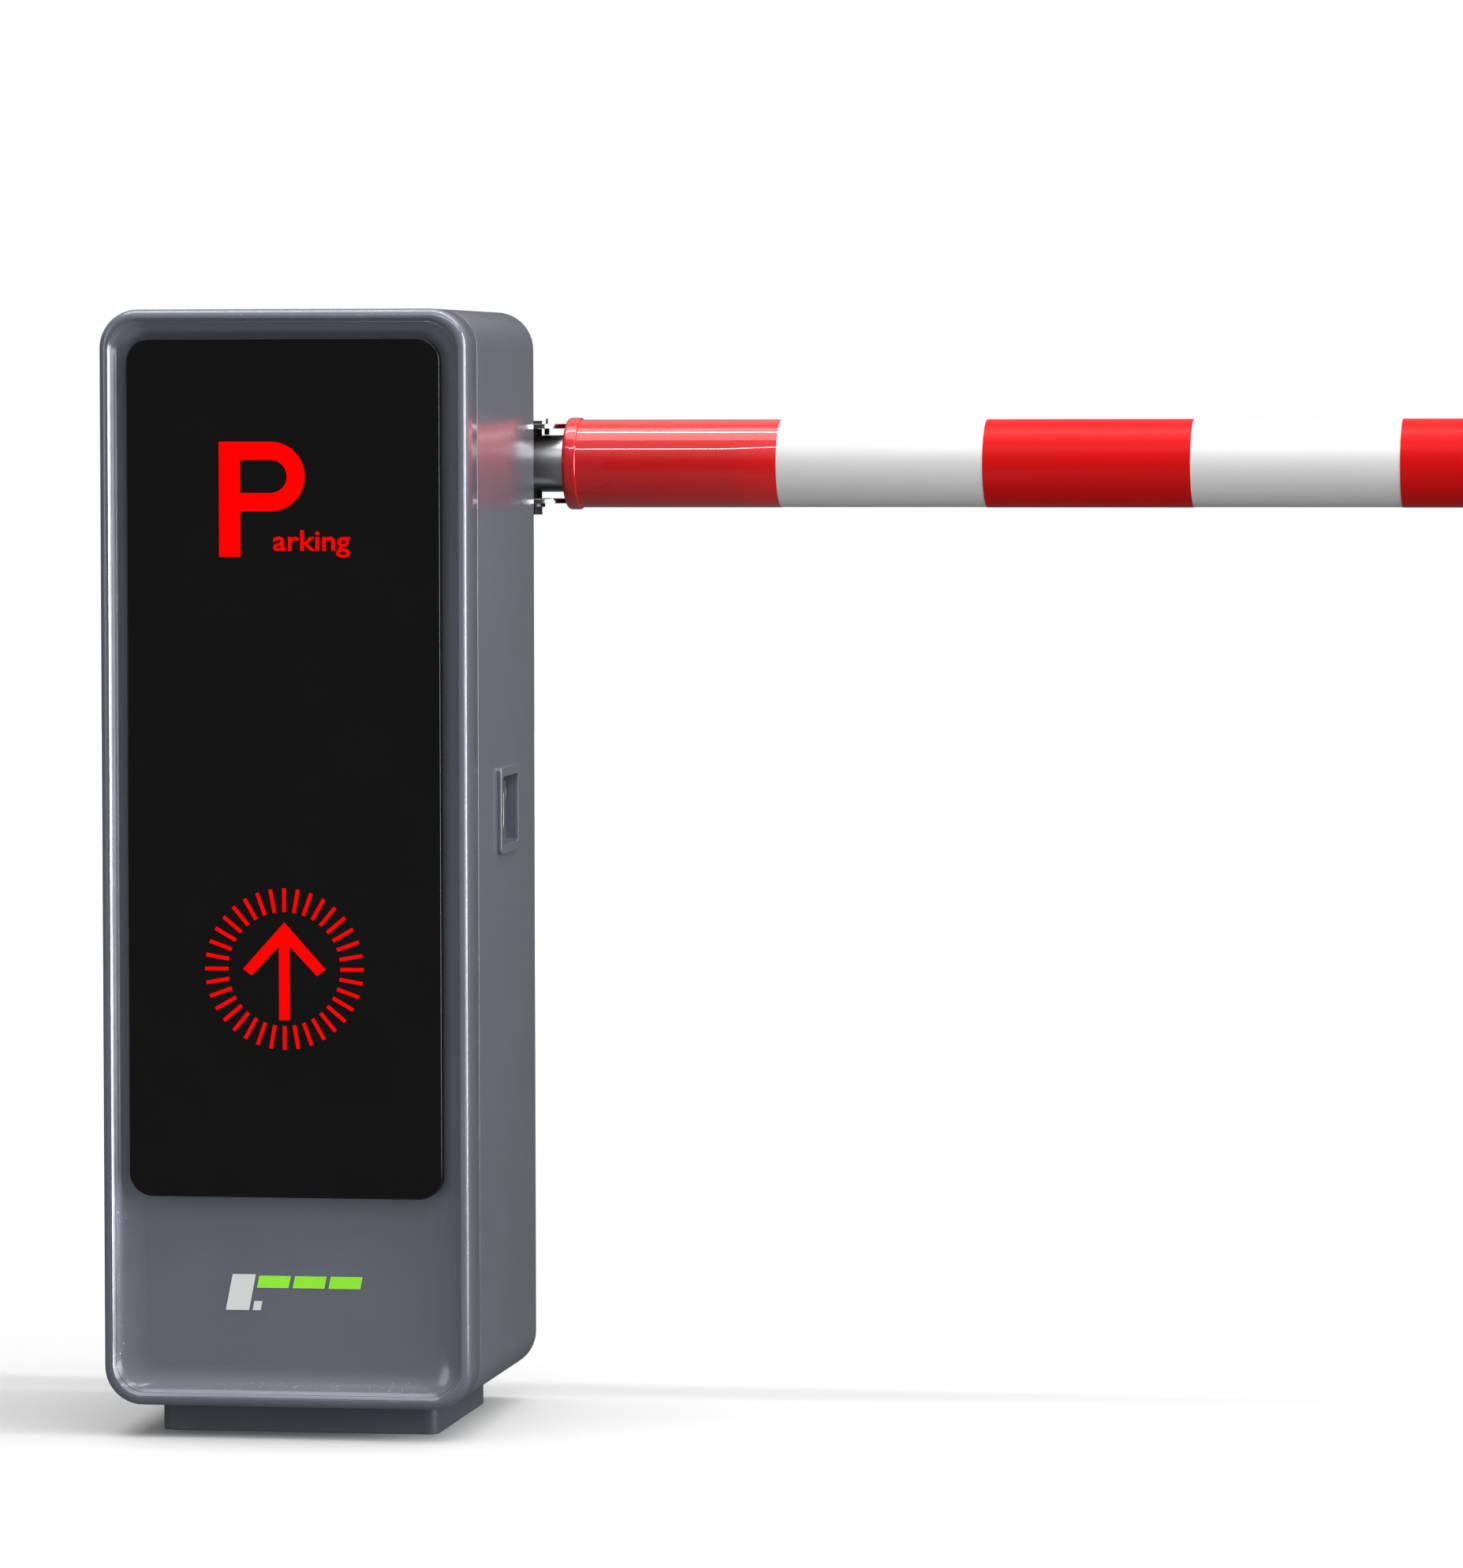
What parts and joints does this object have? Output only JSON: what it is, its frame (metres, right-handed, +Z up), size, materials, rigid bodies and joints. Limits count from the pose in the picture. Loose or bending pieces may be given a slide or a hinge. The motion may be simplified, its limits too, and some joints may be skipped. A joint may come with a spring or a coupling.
{
  "type": "parking barrier gate",
  "caption": "Floor-standing barrier cabinet with a lit parking display in its door, and a round striped boom that lifts on a shaft behind it.",
  "frame": {"origin": "centre of the four anchor holes, on the underside of the base plate (the floor)", "axes": "+X along the lowered boom, +Z up, -Y towards the door with the display"},
  "size_m": [3.385, 0.4555, 1.05],
  "materials": {
    "cabinet_paint": "semi-gloss powder coat with a fine metallic sparkle",
    "latch_paint": "semi-gloss powder coat",
    "plinth_paint": "dark satin powder coat",
    "galvanised_steel": "hot-dip galvanised",
    "zinc_hardware": "bright zinc plated",
    "machined_steel": "turned and ground, lightly oiled",
    "bearing_steel": "ground and polished",
    "cast_housing": "cast and painted",
    "gearbox_lid": "machined cast aluminium with steel screws",
    "motor_enamel": "black enamel",
    "bronze_bush": "sintered bronze",
    "spring_steel": "oil-blackened spring steel",
    "buffer_rubber": "moulded rubber",
    "black_nylon": "moulded nylon",
    "display_acrylic": "black acrylic, polished",
    "lit_legend": "red translucent film, lit from behind",
    "carrier_plastic": "white moulded",
    "paddle_metal": "die cast and painted",
    "key_chrome": "plated zinc",
    "case_plastic": "moulded, light grey",
    "board_laminate": "green circuit board with terminals",
    "supply_case": "folded perforated sheet",
    "fork_metal": "painted silver grey",
    "boom_metal": "extruded tube",
    "boom_white": "white powder-coated aluminium tube",
    "boom_red": "glossy red sheet",
    "pivot_steel": "zinc plated"
  },
  "bodies": {
    "cabinet": {"cabinet_shell": "cabinet_paint", "shaft_cover_ring": "cabinet_paint", "latch_frame": "latch_paint", "latch_tray": "latch_paint", "plinth": "plinth_paint", "base_plate": "galvanised_steel", "chassis_floor": "galvanised_steel", "chassis_front_plate": "galvanised_steel", "chassis_rear_plate": "galvanised_steel", "tie_and_stop_bars": "galvanised_steel", "spring_anchor_bar": "galvanised_steel", "frame_bolts": "zinc_hardware", "hinge_brackets": "zinc_hardware", "hinge_pins": "zinc_hardware", "spring_eye_bolts": "zinc_hardware", "bearing_outer_rings": "bearing_steel", "bearing_housings": "cast_housing", "gearbox_housing": "cast_housing", "gearbox_cover": "gearbox_lid", "drive_motor": "motor_enamel", "balance_springs": "spring_steel", "stop_buffers": "buffer_rubber", "latch_guides": "black_nylon", "limit_switches": "black_nylon", "controller_case": "case_plastic", "circuit_breaker": "case_plastic", "controller_board": "board_laminate", "power_supply": "supply_case"},
    "lifter": {"main_shaft": "machined_steel", "bearing_inner_rings": "bearing_steel", "shaft_lever": "machined_steel", "lever_pins": "zinc_hardware", "cam_discs": "black_nylon", "boom_fork": "fork_metal", "pivot_bolt": "pivot_steel", "detent_plunger": "pivot_steel", "shaft_end_bolt": "pivot_steel"},
    "boom": {"boom_root_tube": "boom_metal", "pivot_spacers": "black_nylon", "boom_tube": "boom_white", "root_bushes": "black_nylon", "boom_collar": "boom_red", "root_sleeve": "boom_red", "red_bands": "boom_red", "boom_tip_cap": "black_nylon"},
    "crank": {"crank_arm": "machined_steel", "output_shaft": "machined_steel"},
    "link": {"connecting_rod": "machined_steel", "rod_bushes": "bronze_bush"},
    "door": {"door_frame": "cabinet_paint", "display_glass": "display_acrylic", "light_carrier": "carrier_plastic", "door_back_cover": "galvanised_steel", "parking_symbol": "lit_legend", "arrow_symbol": "lit_legend", "hinge_necks": "zinc_hardware", "door_hooks": "zinc_hardware"},
    "paddle": {"latch_paddle": "paddle_metal"},
    "latch": {"latch_bar": "zinc_hardware"},
    "key": {"key_cylinder": "key_chrome"}
  },
  "joints": [
    {"name": "boom_lift", "type": "hinge", "parent": "cabinet", "child": "lifter", "pos_m": [0, 0, 0.904], "axis": [0, -1, 0], "range_deg": [0, 90], "deforming": ["balance_springs"]},
    {"name": "boom_swing", "type": "hinge", "parent": "lifter", "child": "boom", "pos_m": [0.16, 0.23, 0.904], "axis": [0, 0, 1], "range_deg": [0, 90]},
    {"name": "crank_turn", "type": "hinge", "parent": "cabinet", "child": "crank", "pos_m": [0, 0, 0.6], "axis": [0, -1, 0], "range_deg": [0, 90]},
    {"name": "rod_swing", "type": "hinge", "parent": "crank", "child": "link", "pos_m": [0.05657, 0, 0.54343], "axis": [0, -1, 0], "range_deg": [-90, 0]},
    {"name": "door_swing", "type": "hinge", "parent": "cabinet", "child": "door", "pos_m": [-0.167, -0.104, 0.54], "axis": [0, 0, -1], "range_deg": [0, 90]},
    {"name": "paddle_pull", "type": "hinge", "parent": "cabinet", "child": "paddle", "pos_m": [0.17, -0.016, 0.579], "axis": [0, 0, -1], "range_deg": [0, 40], "stiffness_Nm_per_rad": 0.3, "springref_deg": -17.19},
    {"name": "latch_slide", "type": "slide", "parent": "cabinet", "child": "latch", "axis": [0, 0, -1], "range_m": [0, 0.015]},
    {"name": "key_turn", "type": "hinge", "parent": "cabinet", "child": "key", "pos_m": [0.16, 0.037, 0.593], "axis": [1, 0, 0], "range_deg": [0, 90]}
  ],
  "couplings": [
    {"joint": "crank_turn", "follows": "boom_lift", "ratio": 1},
    {"joint": "rod_swing", "follows": "boom_lift", "ratio": -1},
    {"joint": "key_turn", "follows": "latch_slide", "rad_per_m": 104.7}
  ]
}
